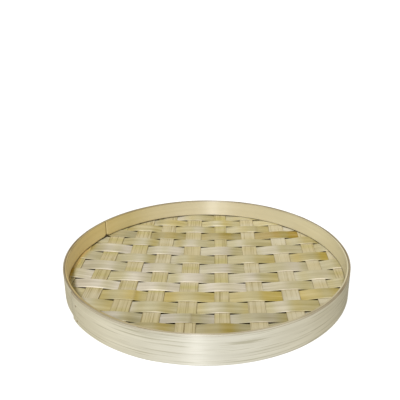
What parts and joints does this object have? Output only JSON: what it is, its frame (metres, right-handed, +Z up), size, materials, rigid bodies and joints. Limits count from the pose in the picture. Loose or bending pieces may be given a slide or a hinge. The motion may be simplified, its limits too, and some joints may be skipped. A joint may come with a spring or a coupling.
{
  "type": "bamboo tray",
  "caption": "Round shallow bamboo tray with a double-walled rim of bent bands and a sagging base of wide strips in plain weave, for drying, sorting or serving food.",
  "frame": {"origin": "on the table under the centre of the rim", "axes": "+Z up out of the tray's mouth, -Y towards the front that the picture shows, +X to the right"},
  "size_m": [0.3, 0.2999, 0.03],
  "materials": {
    "hoop_bamboo": "scraped pale bamboo with fine lengthwise grain",
    "wall_bamboo": "scraped yellow bamboo, satin",
    "warp_bamboo": "split bamboo with dark fibre lines, matt",
    "weft_bamboo": "split bamboo with a soft sheen",
    "brad_steel": "dull wire brad"
  },
  "bodies": {
    "root": {"outer_hoop": "hoop_bamboo", "upper_inner_hoop": "wall_bamboo", "lower_inner_hoop": "wall_bamboo", "warp_strip_01": "warp_bamboo", "warp_strip_02": "warp_bamboo", "warp_strip_03": "warp_bamboo", "warp_strip_04": "warp_bamboo", "warp_strip_05": "warp_bamboo", "warp_strip_06": "warp_bamboo", "warp_strip_07": "warp_bamboo", "warp_strip_08": "warp_bamboo", "warp_strip_09": "warp_bamboo", "warp_strip_10": "warp_bamboo", "weft_strip_01": "weft_bamboo", "weft_strip_02": "weft_bamboo", "weft_strip_03": "weft_bamboo", "weft_strip_04": "weft_bamboo", "weft_strip_05": "weft_bamboo", "weft_strip_06": "weft_bamboo", "weft_strip_07": "weft_bamboo", "weft_strip_08": "weft_bamboo", "weft_strip_09": "weft_bamboo", "weft_strip_10": "weft_bamboo", "weft_strip_11": "weft_bamboo", "weft_strip_12": "weft_bamboo", "weft_strip_13": "weft_bamboo", "weft_strip_14": "weft_bamboo", "weft_strip_15": "weft_bamboo", "weft_strip_16": "weft_bamboo", "lap_brad_upper": "brad_steel", "lap_brad_lower": "brad_steel", "upper_seam_brad_right": "brad_steel", "upper_seam_brad_left": "brad_steel", "lower_seam_brad_right": "brad_steel", "lower_seam_brad_left": "brad_steel"}
  },
  "joints": []
}
